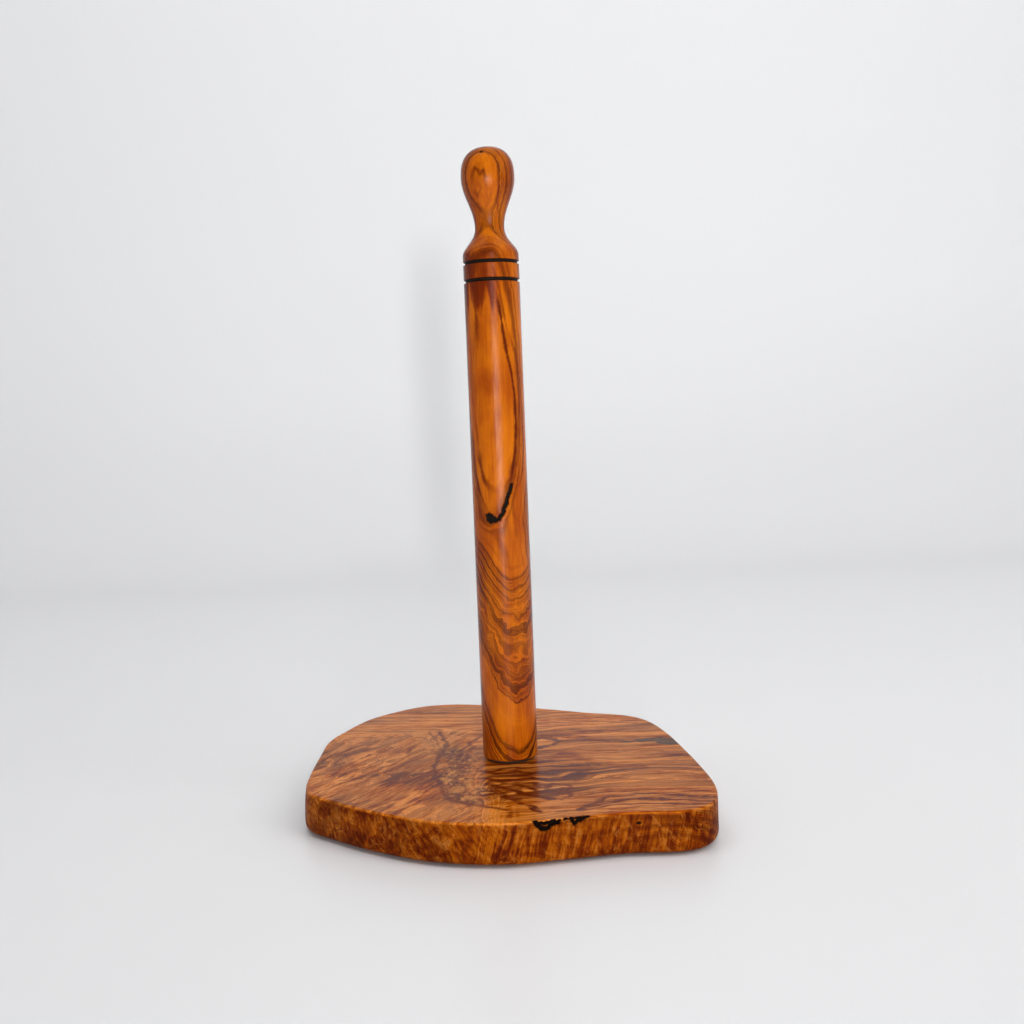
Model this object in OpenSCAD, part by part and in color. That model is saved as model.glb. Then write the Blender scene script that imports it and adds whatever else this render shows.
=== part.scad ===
// Paper towel holder: a turned post with a ball finial, standing on a live-edge slab.
// A hanger bolt glued into the post screws into an insert set in the slab.

/* [Slab] */
// Width of the slab, left to right
base_w = 197; // [150:0.5:260]
// Depth of the slab, front to back
base_d = 228.5; // [170:0.5:300]
// Thickness of the slab
base_t = 19; // [16.5:0.5:40]
// Rounding of the slab's top edge
top_round = 1; // [0.4:0.1:3]
// Rounding of the slab's bottom edge
bottom_round = 3; // [0.4:0.1:4]
// How far the live edge swells out below the top edge
edge_belly = 0.5; // [0:0.1:4]
// How far the top face sits to the right of the bottom face
edge_lean = 0.5; // [0:0.1:1.5]

/* [Post] */
// Post axis, right of the middle of the slab
post_x = 3.5; // [-20:0.5:20]
// Post axis, behind the middle of the slab
post_y = -9; // [-20:0.5:20]
// Diameter of the straight shaft
post_d = 28; // [24:0.5:40]
// Height of the whole post, foot to crown
post_h = 307; // [240:1:380]
// Rounding of the foot's edge
foot_round = 1.5; // [0.5:0.1:3]

/* [Finial] */
// Diameter of the ball, smaller than the shaft so that a roll slides over it
knob_d = 26.8; // [20:0.2:32]
// Height of the crown above the ball's widest place
crown_h = 14.8; // [10:0.2:20]
// Height of the taper from the ball's widest place down to the neck
taper_h = 24.2; // [16:0.2:34]
// Diameter of the neck
neck_d = 14.8; // [10:0.2:20]
// Height of the flare from the neck down to the shaft
flare_h = 14.2; // [8:0.2:24]

/* [Burnt rings] */
// Distance of the upper ring below the shoulder
ring_drop = 3.8; // [2:0.1:20]
// Distance between the two rings
ring_pitch = 8.9; // [4:0.1:30]
// Width of a ring's groove
ring_w = 1.7; // [0.8:0.1:3]
// Depth of a ring's groove
ring_depth = 1; // [0.5:0.1:2]

/* [Hanger bolt] */
// Diameter of the machine thread
stud_d = 8; // [6:0.5:8]
// Step from the machine thread's radius in to the wood thread's radius
thread_step = 0.5; // [0.3:0.1:1]
// Length of the wood thread, tip included
wood_thread_l = 30; // [20:1:45]
// Length of the wood thread's tip
tip_l = 5; // [3:0.5:8]
// Bevel at the end of the machine thread
stud_bevel = 0.8; // [0.4:0.1:1.2]

/* [Threaded insert] */
// Outside diameter of the insert
insert_d = 12; // [12:0.5:14]
// Length of the insert, flange included
insert_l = 13; // [9:0.5:13]
// Diameter of the flange
flange_d = 16; // [15:0.5:20]
// Thickness of the flange
flange_t = 1.2; // [0.8:0.1:2]
// Gap between the machine thread and the flats of the key socket
key_gap = 0.25; // [0.2:0.05:0.6]
// Depth of the key socket
key_depth = 4; // [2:0.5:6]

/* [Foot washer and pads] */
// Diameter of the washer under the post
washer_d = 24.6; // [18:0.2:26]
// Thickness of the washer
washer_t = 0.8; // [0.5:0.1:2]
// Diameter of a pad
pad_d = 18; // [10:1:18]
// Thickness of a pad
pad_t = 1; // [0.5:0.1:3]
// Distance of a pad's centre from the slab's left or right side
pad_inset_x = 42; // [42:1:60]
// Distance of a pad's centre from the slab's front or back
pad_inset_y = 55; // [55:1:70]

/* [Clearances] */
// Radial play of the machine thread in the insert
thread_play = 0.06; // [0.03:0.01:0.1]
// Radial gap of the washer around the bolt
washer_gap = 0.3; // [0.2:0.1:1]
// Radial glue line around the insert and the wood thread
glue_gap = 0.05; // [0.03:0.01:0.1]
// Free depth under the insert and beyond the bolt's tip
end_gap = 1.5; // [1:0.5:2]

/* [Hidden] */

// Levels above the surface that the pads stand on
base_top = pad_t + base_t;
foot_z = base_top + washer_t;

// Radii
shaft_r = post_d / 2;
knob_r = knob_d / 2;
neck_r = neck_d / 2;
stud_r = stud_d / 2;

// Heights above the post's foot
ball_h = post_h - crown_h;
neck_h = ball_h - taper_h;
shoulder_h = neck_h - flare_h;
upper_ring_h = shoulder_h - ring_drop;
lower_ring_h = upper_ring_h - ring_pitch;

// Shape of the finial: the crown is a superellipse, the flare is fuller near the neck
crown_power = 2.5;
flare_power = 1.25;
crown_steps = 12;
taper_steps = 12;
flare_steps = 10;
foot_steps = 6;

// The live edge, as shares of half the slab's width and depth, anticlockwise from the left side
EDGE = [
    [-1.00, -0.25], [-0.97, -0.49], [-0.83, -0.63], [-0.60, -0.80], [-0.33, -0.94],
    [-0.01, -1.00], [0.28, -0.97], [0.54, -0.935], [0.81, -0.935], [0.95, -0.84],
    [1.00, -0.62], [0.98, -0.30], [0.94, 0.03], [0.90, 0.26], [0.83, 0.48],
    [0.71, 0.61], [0.49, 0.70], [0.22, 0.83], [-0.19, 0.98], [-0.42, 1.00],
    [-0.60, 0.93], [-0.81, 0.74], [-0.93, 0.50], [-0.99, 0.32], [-1.00, 0.13]
];
edge_steps = 4;
round_steps = 3;
belly_steps = 4;
belly_power = 2.5;

// A point on the smooth curve between p1 and p2, whose neighbours are p0 and p3
function curve_point(p0, p1, p2, p3, t) =
    (2 * p1 + (p2 - p0) * t + (2 * p0 - 5 * p1 + 4 * p2 - p3) * t * t
     + (3 * p1 - p0 - 3 * p2 + p3) * t * t * t) / 2;

// A closed smooth curve through all the given points
function closed_curve(p, steps) = let (n = len(p)) [
    for (i = [0 : n - 1], s = [0 : steps - 1])
        curve_point(p[(i + n - 1) % n], p[i], p[(i + 1) % n], p[(i + 2) % n], s / steps)
];

// The same curve stretched to fill a width and a depth about the origin
function fitted(p, w, d) = let (
    xs = [for (q = p) q[0]],
    ys = [for (q = p) q[1]],
    x0 = min(xs),
    y0 = min(ys),
    kx = w / (max(xs) - x0),
    ky = d / (max(ys) - y0)
) [for (q = p) [(q[0] - x0) * kx - w / 2, (q[1] - y0) * ky - d / 2]];

// Unit normal of a closed anticlockwise curve at point i, pointing outwards
function outward(p, i) = let (
    n = len(p),
    along = p[(i + 1) % n] - p[(i + n - 1) % n]
) [along[1], -along[0]] / norm(along);

// The closed curve drawn in by a small distance
function drawn_in(p, d) = [for (i = [0 : len(p) - 1]) p[i] - d * outward(p, i)];

// The slab's side, from the bottom face up to the top face,
// as [distance drawn in, distance moved right, height]
belly_low = pad_t + bottom_round;
belly_high = base_top - top_round;
side_profile = concat(
    [for (s = [0 : round_steps]) let (a = 90 * s / round_steps)
        [bottom_round * (1 - sin(a)), 0, belly_low - bottom_round * cos(a)]],
    [for (s = [1 : belly_steps]) let (t = s / belly_steps, out = pow(t, belly_power))
        [edge_belly * out, edge_lean * out, belly_low + (belly_high - belly_low) * t]],
    [for (s = [1 : round_steps]) let (a = 90 * s / round_steps)
        [edge_belly + top_round * (1 - cos(a)), edge_lean, belly_high + top_round * sin(a)]]
);

// The post's outline, from the foot up to the crown, as [radius, height]
post_profile = concat(
    [[0, 0]],
    [for (s = [0 : foot_steps]) let (a = 90 * s / foot_steps)
        [shaft_r - foot_round * (1 - sin(a)), foot_round * (1 - cos(a))]],
    [for (s = [0 : flare_steps - 1]) let (u = 1 - s / flare_steps)
        [neck_r + (shaft_r - neck_r) * (1 - cos(180 * pow(u, flare_power))) / 2,
         neck_h - flare_h * u]],
    [for (s = [0 : taper_steps - 1]) let (u = s / taper_steps)
        [neck_r + (knob_r - neck_r) * (1 - cos(180 * u)) / 2, neck_h + taper_h * u]],
    [for (s = [0 : crown_steps]) let (a = 90 * s / crown_steps)
        [knob_r * pow(cos(a), 2 / crown_power), ball_h + crown_h * pow(sin(a), 2 / crown_power)]]
);

// A solid whose outline is drawn in at each level as its side profile says
module lofted(outline, profile) {
    n = len(outline);
    m = len(profile);
    rings = [for (q = profile) for (p = drawn_in(outline, q[0])) [p[0] + q[1], p[1], q[2]]];
    walls = [for (j = [0 : m - 2], i = [0 : n - 1]) let (k = (i + 1) % n)
        each [[j * n + i, (j + 1) * n + i, (j + 1) * n + k],
              [j * n + i, (j + 1) * n + k, j * n + k]]];
    floor_face = [[for (i = [0 : n - 1]) i]];
    top_face = [[for (i = [n - 1 : -1 : 0]) (m - 1) * n + i]];
    polyhedron(points = rings, faces = concat(walls, floor_face, top_face));
}

module on_post_axis(z) {
    translate([post_x, post_y, z]) children();
}

module base_slab() {
    outline = fitted(closed_curve(EDGE, edge_steps), base_w, base_d);
    color([0.66, 0.42, 0.27])
    difference() {
        lofted(outline, side_profile);
        on_post_axis(base_top - flange_t)
            cylinder(r = flange_d / 2 + glue_gap, h = flange_t + end_gap, $fn = 96);
        on_post_axis(base_top - insert_l - end_gap)
            cylinder(r = insert_d / 2 + glue_gap, h = insert_l + end_gap, $fn = 96);
    }
}

module ring_groove(h) {
    groove_r = ring_w / 2;
    translate([0, 0, h]) rotate_extrude($fn = 128) union() {
        translate([shaft_r - ring_depth + groove_r, 0]) circle(r = groove_r, $fn = 32);
        translate([shaft_r - ring_depth + groove_r, -groove_r]) square([ring_depth, ring_w]);
    }
}

module wood_thread_shape(play) {
    straight = wood_thread_l - tip_l;
    r = stud_r - thread_step + play;
    cylinder(r = r, h = straight, $fn = 64);
    translate([0, 0, straight]) cylinder(r1 = r, r2 = r / 4, h = tip_l + play, $fn = 64);
}

module post() {
    color([0.80, 0.50, 0.17])
    on_post_axis(foot_z)
    difference() {
        rotate_extrude($fn = 128) polygon(post_profile);
        ring_groove(upper_ring_h);
        ring_groove(lower_ring_h);
        wood_thread_shape(glue_gap);
    }
}

module hanger_bolt() {
    stud_l = washer_t + insert_l;
    color([0.72, 0.72, 0.70])
    on_post_axis(foot_z)
    union() {
        wood_thread_shape(0);
        translate([0, 0, stud_bevel - stud_l]) cylinder(r = stud_r, h = stud_l - stud_bevel, $fn = 64);
        translate([0, 0, -stud_l])
            cylinder(r1 = stud_r - stud_bevel, r2 = stud_r, h = stud_bevel, $fn = 64);
    }
}

module threaded_insert() {
    color([0.76, 0.70, 0.50])
    on_post_axis(base_top)
    difference() {
        union() {
            translate([0, 0, -insert_l]) cylinder(r = insert_d / 2, h = insert_l, $fn = 96);
            translate([0, 0, -flange_t]) cylinder(r = flange_d / 2, h = flange_t, $fn = 96);
        }
        translate([0, 0, -insert_l - end_gap])
            cylinder(r = stud_r + thread_play, h = insert_l + 2 * end_gap, $fn = 64);
        translate([0, 0, -key_depth])
            cylinder(r = (stud_r + key_gap) / cos(30), h = key_depth + end_gap, $fn = 6);
    }
}

module foot_washer() {
    color([0.10, 0.09, 0.08])
    on_post_axis(base_top)
    difference() {
        cylinder(r = washer_d / 2, h = washer_t, $fn = 96);
        translate([0, 0, -washer_t])
            cylinder(r = stud_r + washer_gap, h = 3 * washer_t, $fn = 64);
    }
}

// One pad, on the side of the slab's middle that the two signs give
module pad(side_x, side_y) {
    color([0.24, 0.20, 0.17])
    translate([side_x * (base_w / 2 - pad_inset_x), side_y * (base_d / 2 - pad_inset_y), 0])
        cylinder(r = pad_d / 2, h = pad_t, $fn = 64);
}

module pad_front_left() {
    pad(-1, -1);
}

module pad_front_right() {
    pad(1, -1);
}

module pad_back_left() {
    pad(-1, 1);
}

module pad_back_right() {
    pad(1, 1);
}

base_slab();
post();
hanger_bolt();
threaded_insert();
foot_washer();
pad_front_left();
pad_front_right();
pad_back_left();
pad_back_right();
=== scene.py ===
"""Looks of the olive-wood paper towel holder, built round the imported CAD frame."""

import math

import bpy
import numpy as np
from mathutils import Matrix, Vector, noise


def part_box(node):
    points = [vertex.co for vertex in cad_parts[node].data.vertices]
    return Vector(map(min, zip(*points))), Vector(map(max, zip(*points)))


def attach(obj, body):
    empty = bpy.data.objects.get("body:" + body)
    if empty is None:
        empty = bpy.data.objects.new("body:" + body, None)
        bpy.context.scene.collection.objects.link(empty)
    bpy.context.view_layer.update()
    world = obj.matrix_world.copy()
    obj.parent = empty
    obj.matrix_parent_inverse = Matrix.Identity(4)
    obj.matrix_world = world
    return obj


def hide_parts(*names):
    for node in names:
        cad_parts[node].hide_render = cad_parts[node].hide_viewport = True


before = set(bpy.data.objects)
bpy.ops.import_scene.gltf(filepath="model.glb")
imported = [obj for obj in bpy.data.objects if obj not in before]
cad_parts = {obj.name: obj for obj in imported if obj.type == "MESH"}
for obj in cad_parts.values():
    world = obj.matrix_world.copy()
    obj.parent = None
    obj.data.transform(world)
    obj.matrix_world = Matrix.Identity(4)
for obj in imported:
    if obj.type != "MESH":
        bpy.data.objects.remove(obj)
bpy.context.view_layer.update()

MM = 0.001

# ---------------- sizes taken from the frame

POST_LOW, POST_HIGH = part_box("post")
SLAB_LOW, SLAB_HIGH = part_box("base_slab")
BOLT_LOW, BOLT_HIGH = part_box("hanger_bolt")
INSERT_LOW, INSERT_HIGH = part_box("threaded_insert")

AXIS_X = (POST_LOW.x + POST_HIGH.x) / 2
AXIS_Y = (POST_LOW.y + POST_HIGH.y) / 2
FOOT_Z = POST_LOW.z
SLAB_TOP = SLAB_HIGH.z
SHAFT_R = (POST_HIGH.x - POST_LOW.x) / 2
POST_H = POST_HIGH.z - POST_LOW.z
BOLT_R = (BOLT_HIGH.x - BOLT_LOW.x) / 2
FLANGE_R = (INSERT_HIGH.x - INSERT_LOW.x) / 2

# ---------------- sizes of the details, in millimetres

# Post
KNOB_R = 13.4
NECK_R = 7.4
CROWN_H = 14.8
TAPER_H = 24.2
FLARE_H = 14.2
RING_DROP = 3.8
RING_PITCH = 8.9
RING_W = 1.7
RING_DEPTH = 1.0
FOOT_ROUND = 1.5
CROWN_POWER = 2.5
FLARE_POWER = 1.25
POST_SEGMENTS = 240
SKIN = 0.03  # how far the wood lies inside the CAD surface
GLUE_BITE = 0.45  # how far the wood thread bites into the hole
BARK_DEPTH = 1.5
PIT_DEPTH = 1.3
FOOT_PIT_DEPTH = 0.25
# Radii on which the marks of the ball and its crown are laid out flat
BALL_FLAT_R = 13
CROWN_FLAT_R = 8

# Slab
COLUMN_STEP = 0.24  # in points of the CAD outline
TOP_ROWS = 80
HUB_R = 4.0
FLANGE_PLAY = 0.05
INSERT_HOLE_R = 6.05
FLANGE_T = 1.2
HOLE_FLOOR = 1.5
TOP_EDGE = 1.5

# Bolt and insert
PITCH = 1.25
THREAD_DEPTH = 0.70
THREAD_ROW = 0.104
WOOD_PITCH = 2.8
WOOD_DEPTH = 0.75
WOOD_ROW = 0.28
WOOD_THINNER = 0.5
BOLT_BEVEL = 0.8
BOLT_SHOULDER = 1.0
BOLT_TIP = 5.0
BORE_PLAY = 0.1
INSERT_PLAY = 0.1
SOCKET_FLAT = 4.25
SOCKET_DEPTH = 4.0
COARSE_PITCH = 3.0
COARSE_DEPTH = 0.7
INSERT_EDGE = 0.2
METAL_SEGMENTS = 72

# Washer and pads
WASHER_PLAY = 0.3
WASHER_ROUND = 0.15
WASHER_RIM = 0.02
PAD_ROUND = 0.3
PAD_RIM = 0.25
DISC_SEGMENTS = 96


def smooth(a, b, x):
    """0 below a, 1 above b, and an even curve between."""
    t = np.clip((np.asarray(x, float) - a) / (b - a), 0, 1)
    return t * t * (3 - 2 * t)


# ---------------- mesh helpers

def add_mesh(name, verts, faces):
    """A smooth-shaded mesh object from arrays of points and faces."""
    mesh = bpy.data.meshes.new(name)
    mesh.from_pydata([tuple(v) for v in verts], [], [tuple(f) for f in faces])
    mesh.validate()
    mesh.polygons.foreach_set("use_smooth", [True] * len(mesh.polygons))
    mesh.update()
    piece = bpy.data.objects.new(name, mesh)
    bpy.context.scene.collection.objects.link(piece)
    return piece


def ring_faces(rows, count):
    """Quads between neighbouring rings of count points each."""
    i = np.arange(count)
    k = (i + 1) % count
    out = []
    for j in range(rows - 1):
        a = j * count
        b = a + count
        out.append(np.stack([a + i, a + k, b + k, b + i], 1))
    return np.concatenate(out).tolist()


def vertex_rows(piece, key):
    """The mesh's points or normals as rows of x, y and z."""
    flat = np.zeros(len(piece.data.vertices) * 3)
    piece.data.vertices.foreach_get(key, flat)
    return flat.reshape(-1, 3)


def noise_at(points, seed):
    """Smooth noise of about -1 to 1 at points, with waves about 1 long."""
    shift = Vector((seed * 17.3, seed * 5.1, seed * 9.7))
    return np.array([noise.noise(Vector(p) + shift) for p in points])


def sharpen_edges(piece, degrees):
    """Keeps the creases sharper than the angle crisp in smooth shading."""
    piece.data.set_sharp_from_angle(angle=math.radians(degrees))


def place(piece, body, node, slot):
    """The piece stands for a CAD node and moves with its body. The slot is not used."""
    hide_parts(node)
    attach(piece, body)
    return piece


def add_values(piece, **values):
    """Stores numbers at the mesh's points under their names, for a material to read."""
    for name, numbers in values.items():
        layer = piece.data.attributes.new(name, "FLOAT", "POINT")
        layer.data.foreach_set("value", np.asarray(numbers, np.float32))


def lathe(name, rows, segments, axis=(0.0, 0.0), shape=None, closed=False):
    """A turned piece about a vertical axis. rows are (radius, height) in metres, bottom face first.

    shape(angle, radius, height) may return other radii and heights for a whole row.
    A closed piece joins its last row to its first, and an open one gets a flat cap at both ends.
    """
    angle = np.arange(segments) * 2 * math.pi / segments
    verts = []
    for radius, height in rows:
        r = np.full(segments, float(radius))
        h = np.full(segments, float(height))
        if shape:
            r, h = shape(angle, r, h)
        verts.append(np.stack([axis[0] + r * np.cos(angle), axis[1] + r * np.sin(angle), h], 1))
    count = len(rows)
    faces = ring_faces(count, segments)
    if closed:
        last = (count - 1) * segments
        i = np.arange(segments)
        k = (i + 1) % segments
        faces += np.stack([last + i, last + k, k, i], 1).tolist()
    else:
        faces.append(list(range(segments))[::-1])
        faces.append(list(range((count - 1) * segments, count * segments)))
    return add_mesh(name, np.concatenate(verts), faces)


def stroke_distance(points, path):
    """Distance of each 2-D point from a path of straight stretches."""
    points = np.asarray(points, float)
    best = np.full(len(points), np.inf)
    for a, b in zip(path[:-1], path[1:]):
        a = np.array(a, float)
        along = np.array(b, float) - a
        t = np.clip((points - a) @ along / (along @ along), 0, 1)
        best = np.minimum(best, np.linalg.norm(points - a - t[:, None] * along, axis=1))
    return best


# ---------------- the turned post

# Heights in millimetres over the foot
BALL_H = POST_H / MM - CROWN_H
NECK_H = BALL_H - TAPER_H
SHOULDER_H = NECK_H - FLARE_H
RINGS_H = (SHOULDER_H - RING_DROP - RING_PITCH, SHOULDER_H - RING_DROP)


def post_rows():
    """The post's outline in millimetres from the foot up, with both burnt grooves."""
    shaft = SHAFT_R / MM
    rows = []
    for a in np.linspace(0, math.pi / 2, 7):
        rows.append((shaft - FOOT_ROUND * (1 - math.sin(a)), FOOT_ROUND * (1 - math.cos(a))))
    lower, upper = RINGS_H
    half = RING_W / 2
    heights = list(np.arange(FOOT_ROUND + 0.7, lower - half - 0.3, 0.7))
    for ring in RINGS_H:
        heights += list(np.linspace(ring - half - 0.1, ring + half + 0.1, 17))
        heights += list(np.linspace(ring + half + 0.7, ring + half + 1.5, 2))
    heights += list(np.arange(lower + half + 2.2, upper - half - 0.5, 0.7))
    heights += list(np.arange(upper + half + 2.0, SHOULDER_H - 0.2, 0.5))
    for h in sorted(heights):
        r = shaft
        for ring in RINGS_H:
            off = abs(h - ring)
            if off < half:
                r = shaft - RING_DEPTH + half - math.sqrt(half * half - off * off)
                r = min(r, shaft)
        rows.append((r, h))
    for u in np.linspace(1, 0, 30)[:-1]:
        swell = (1 - math.cos(math.pi * u ** FLARE_POWER)) / 2
        rows.append((NECK_R + (shaft - NECK_R) * swell, NECK_H - FLARE_H * u))
    for u in np.linspace(0, 1, 48)[:-1]:
        swell = (1 - math.cos(math.pi * u)) / 2
        rows.append((NECK_R + (KNOB_R - NECK_R) * swell, NECK_H + TAPER_H * u))
    for a in np.linspace(0, math.radians(89), 36):
        power = 2 / CROWN_POWER
        rows.append((KNOB_R * math.cos(a) ** power, BALL_H + CROWN_H * math.sin(a) ** power))
    return rows


# Cracks and pits of the post: (degrees round from the front, height in mm) along each one
BARK_HOOK = [(25, 139.5), (19, 136), (13, 131.5), (7, 127.5), (0, 124.5), (-9, 122.5), (-17, 122),
             (-22, 122.5), (-27, 124.5)]
BARK_BLOB = [(-27, 124), (-21, 123)]
KNOB_PIT = (-20, 303.2)
FOOT_PITS = [(19, 26), (-10, 11), (40, 30)]
# Dark veins of the post: the same kind of path, half width in mm and darkness
VEINS = [
    ([(-2, 250), (6, 244), (14, 236), (22, 224), (30, 214)], 0.6, 0.7),
    ([(8, 236), (15, 224), (20, 213), (26, 204), (34, 196), (40, 184), (41, 170), (37, 158),
      (30, 149), (24, 143), (10, 139)], 0.75, 1.0),
    ([(30, 216), (46, 205), (60, 190), (62, 176)], 0.6, 0.6),
    ([(66, 182), (64, 160), (56, 146), (44, 139), (30, 138.5)], 0.7, 0.75),
    ([(50, 200), (54, 176), (50, 158), (40, 147)], 0.5, 0.6),
    ([(-66, 170), (-60, 152), (-50, 139), (-38, 132), (-27, 127)], 0.6, 0.9),
    ([(-72, 150), (-62, 136), (-48, 126), (-30, 120)], 0.6, 0.5),
    ([(-46, 160), (-41, 150), (-34, 143), (-22, 139), (-6, 137)], 1.25, 0.85),
    ([(-52, 176), (-47, 166), (-44, 156)], 0.8, 0.5),
    ([(-44, 252), (-42, 232), (-36, 222), (-38, 208)], 1.3, 0.7),
    ([(-12, 252), (-18, 234), (-26, 224)], 1.1, 0.6),
    ([(-60, 252), (-62, 236), (-58, 222)], 1.0, 0.6),
    ([(-20, 121), (-6, 112), (4, 106), (10, 98)], 1.6, 0.5),
    ([(22, 134), (30, 122), (34, 108)], 1.0, 0.45),
    ([(-34, 286), (-35, 291), (-29, 295), (-22, 294), (-16, 291.5), (-9, 293.5), (-4, 290),
      (-6, 285)], 0.9, 0.8),
    ([(-34, 288), (-30, 283.5), (-24, 282), (-17, 284.5), (-12, 288)], 0.9, 0.8),
    ([(-26, 298), (-15, 296.5), (-4, 298.5)], 1.2, 0.55),
    ([(-16, 273), (-8, 276), (0, 279), (6, 282)], 1.0, 0.6),
    ([(22, 270), (20, 279), (24, 286), (30, 292)], 0.7, 0.6),
    ([(-50, 280), (-46, 272), (-40, 266)], 0.7, 0.55),
]


def laid_out(path, radius):
    """A path of (degrees, height) laid out flat from a cylinder of a radius, in millimetres."""
    return [(math.radians(a) * radius, up) for a, up in path]


def post_hollows(flat, h, ragged):
    """How far the bark pocket and the pits sink into the post, in mm, and where they are dark."""
    hook = stroke_distance(flat, laid_out(BARK_HOOK, SHAFT_R / MM)) + 0.55 * ragged
    blob = stroke_distance(flat, laid_out(BARK_BLOB, SHAFT_R / MM)) + 0.9 * ragged
    crack = np.maximum(1 - smooth(0.65, 1.15, hook), 1 - smooth(1.6, 2.3, blob))
    pit_at = laid_out([KNOB_PIT], CROWN_FLAT_R)[0]
    pit = 1 - smooth(0.6, 1.2, np.hypot((flat[:, 0] - pit_at[0]), (h - pit_at[1]) * 1.4) + 0.2 * ragged)
    pit *= h > BALL_H
    sink = BARK_DEPTH * crack + PIT_DEPTH * pit
    for x, up in laid_out(FOOT_PITS, SHAFT_R / MM):
        near = np.hypot(flat[:, 0] - x, (h - up) * 0.7)
        sink += FOOT_PIT_DEPTH * (1 - smooth(0.3, 0.9, near))
    return sink, crack + pit


def post_veins(at, flat, ragged):
    """How dark the veins make each point of the post. They fade towards their ends."""
    vein = np.zeros(len(at))
    swell = 1 + 0.6 * noise_at(at / 6, 4)
    for path, width, depth in VEINS:
        on_shaft = path[0][1] < SHOULDER_H
        route = laid_out(path, SHAFT_R / MM if on_shaft else BALL_FLAT_R)
        off = stroke_distance(flat, route) + 0.3 * ragged
        fade = 1.0
        for x, up in (route[0], route[-1]):
            fade = fade * (0.25 + 0.75 * smooth(0, 9, np.hypot(flat[:, 0] - x, flat[:, 1] - up)))
        vein = np.maximum(vein, depth * fade * (1 - smooth(0.1, 1.9, off / (width * swell))))
    return vein


def build_post():
    """The post: one turned piece with a bark pocket, a pit, two burnt grooves and a drilled foot."""
    hole_r = BOLT_R / MM - GLUE_BITE
    hole_h = (BOLT_HIGH.z - FOOT_Z) / MM + 0.05
    rows = [(hole_r / 4, hole_h), (hole_r, hole_h - BOLT_TIP), (hole_r, 0.0)]
    rows += [(hole_r + (SHAFT_R / MM - FOOT_ROUND - hole_r) * s, 0.0) for s in (0.25, 0.5, 0.75)]
    first_outer = len(rows)
    rows += post_rows()
    piece = lathe("post_turned", [(r * MM, FOOT_Z + h * MM) for r, h in rows], POST_SEGMENTS,
                  axis=(AXIS_X, AXIS_Y))

    co = vertex_rows(piece, "co")
    at = (co - (AXIS_X, AXIS_Y, FOOT_Z)) / MM
    x, y, h = at.T
    outer = np.arange(len(co)) >= first_outer * POST_SEGMENTS
    flat = np.stack([np.arctan2(x, -y) * np.maximum(np.hypot(x, y), 1), h], 1)
    ragged = noise_at(at / 1.6, 3) + 0.6 * noise_at(at / 0.7, 6)
    sink, dark = post_hollows(flat, h, ragged)
    vein = post_veins(at, flat, ragged)
    nearest = np.minimum(np.abs(h - RINGS_H[0]), np.abs(h - RINGS_H[1]))

    co -= vertex_rows(piece, "normal") * (SKIN + sink * outer)[:, None] * MM
    piece.data.vertices.foreach_set("co", co.ravel())
    piece.data.update()
    burnt = 1 - smooth(RING_W * 0.42, RING_W * 0.56, nearest + 0.06 * ragged)
    add_values(piece, crack=np.clip(dark, 0, 1) * outer, vein=np.clip(vein, 0, 1) * outer, burnt=burnt,
               **post_figure(at))
    sharpen_edges(piece, 50)
    return place(piece, "post", "post", "post_wood")


# ---------------- the live-edge slab

def cad_rings():
    """The slab's outline at each level of the CAD part, all with their points in the same order."""
    co = np.array([v.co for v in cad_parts["base_slab"].data.vertices], float)
    co = co[np.hypot(co[:, 0] - AXIS_X, co[:, 1] - AXIS_Y) > 20 * MM]
    levels = np.unique(np.round(co[:, 2], 6))
    rings = []
    for level in levels:
        ring = np.unique(np.round(co[np.abs(co[:, 2] - level) < 1e-6], 7), axis=0)
        if len(ring) < 60:
            continue
        turn = np.arctan2(ring[:, 1] - AXIS_Y, ring[:, 0] - AXIS_X)
        ring = ring[np.argsort(turn)]
        if rings:
            shifts = [np.abs(np.roll(ring, s, 0) - rings[-1]).sum() for s in range(-2, 3)]
            ring = np.roll(ring, int(np.argmin(shifts)) - 2, 0)
        rings.append(ring)
    return np.array(rings)


def spline(values, at, periodic):
    """Points on a smooth curve through values (along axis 0) at fractional positions."""
    n = len(values)
    i = np.floor(at).astype(int)
    t = (at - i).reshape(-1, *([1] * (values.ndim - 1)))
    pick = (lambda k: values[k % n]) if periodic else (lambda k: values[np.clip(k, 0, n - 1)])
    p0, p1, p2, p3 = pick(i - 1), pick(i), pick(i + 1), pick(i + 2)
    return 0.5 * (2 * p1 + (p2 - p0) * t + (2 * p0 - 5 * p1 + 4 * p2 - p3) * t ** 2
                  + (3 * p1 - p0 - 3 * p2 + p3) * t ** 3)


# Bark pockets in the front edge: (mm right of the post's axis, mm up the wall) along each one, half width
# and depth. Heights over the slab's top run on inwards over it.
POCKETS = [
    ([(9.3, 19.7), (10.2, 18.0), (12.4, 16.4), (14.6, 16.2), (16.2, 17.6), (19.5, 18.4)], 0.85, 2.6),
    ([(10.5, 18.8), (14, 18.6), (18, 19.2)], 0.6, 1.8),
    ([(25.6, 19.2), (26.6, 17.2), (28.2, 18.2), (31, 19.2)], 0.7, 2.2),
    ([(19, 19.2), (24, 19.5), (33, 19.6)], 0.35, 1.2),
    ([(54.9, 15.2), (55.1, 15.0)], 0.55, 1.2),
]
FRONT_Y = -60


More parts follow.
